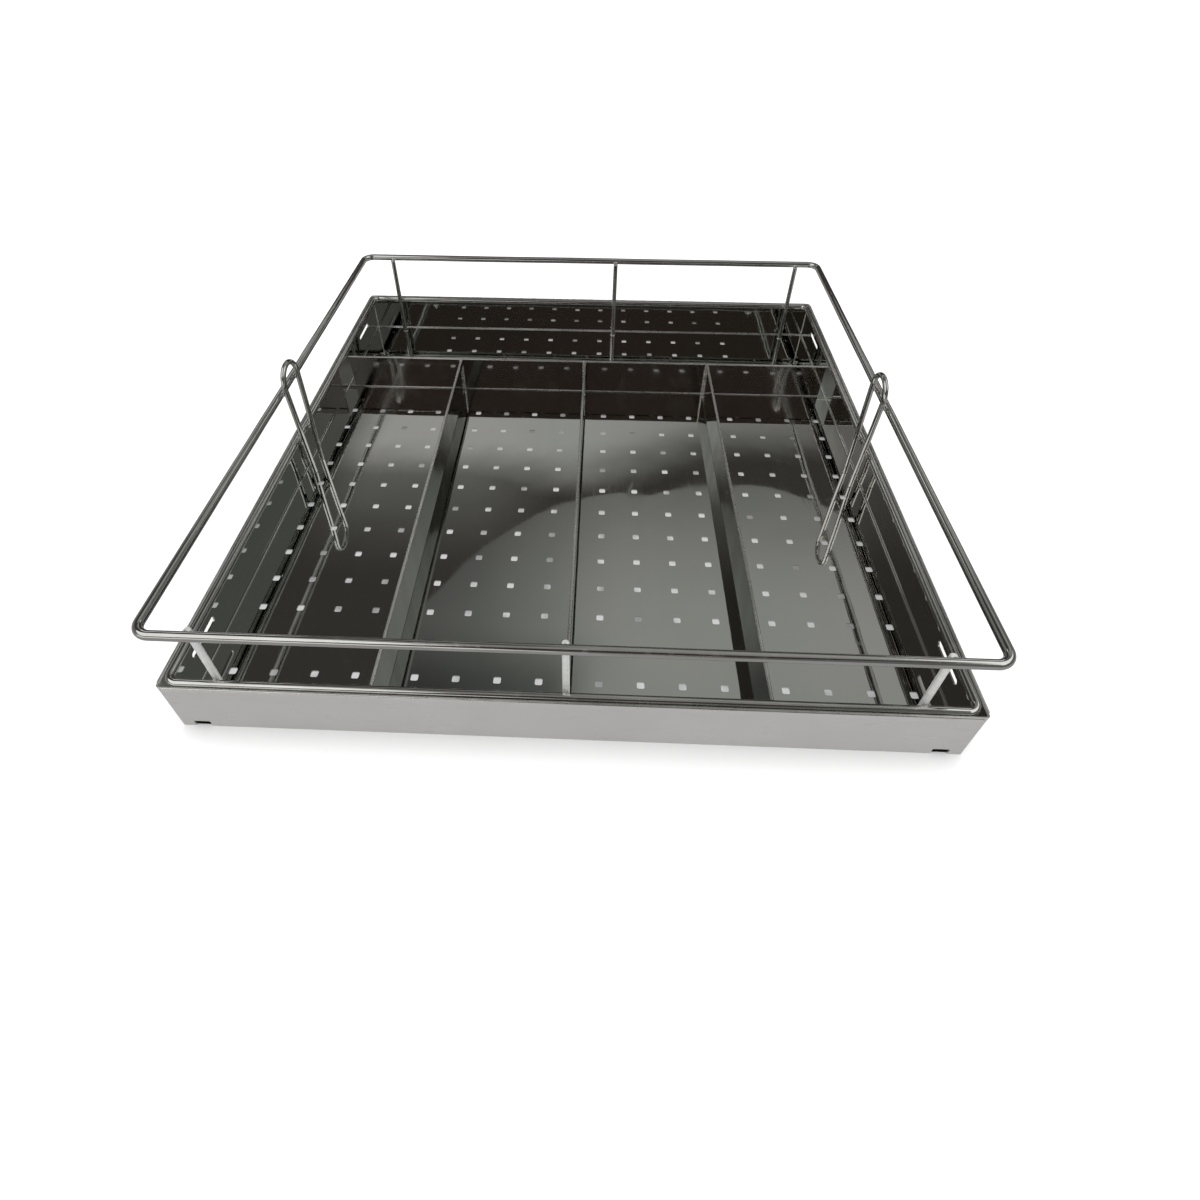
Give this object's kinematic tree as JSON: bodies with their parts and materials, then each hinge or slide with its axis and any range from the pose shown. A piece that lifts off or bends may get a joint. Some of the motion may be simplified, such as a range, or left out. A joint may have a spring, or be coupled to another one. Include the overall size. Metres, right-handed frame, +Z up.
{
  "type": "perforated instrument tray",
  "caption": "Shallow perforated steel tray with long compartments, a wide rear compartment, lift-out dividers and a raised wire gallery around the edge.",
  "frame": {"origin": "centre of the tray's footprint, on the surface it stands on", "axes": "+X to the right with the four long compartments in front, +Y towards the wide rear compartment, +Z up"},
  "size_m": [0.4454, 0.4654, 0.1001],
  "materials": {
    "polished_sheet": "mirror-polished stainless sheet, lightly scratched",
    "bright_wire": "bright electropolished stainless wire",
    "divider_sheet": "mirror-polished stainless sheet with a folded top edge"
  },
  "bodies": {
    "tray": {"tray_pan": "polished_sheet", "rim_wire": "bright_wire", "gallery_rail": "bright_wire", "post_front_left": "bright_wire", "post_front_middle": "bright_wire", "post_front_right": "bright_wire", "post_back_left": "bright_wire", "post_back_middle": "bright_wire", "post_back_right": "bright_wire", "side_loop_left": "bright_wire", "side_loop_right": "bright_wire"},
    "divider_grid": {"cross_divider": "divider_sheet", "long_divider_left": "divider_sheet", "long_divider_middle": "divider_sheet", "long_divider_right": "divider_sheet"}
  },
  "joints": [
    {"name": "divider_lift", "type": "slide", "parent": "tray", "child": "divider_grid", "axis": [0, 0, 1], "range_m": [0, 0.08]}
  ]
}
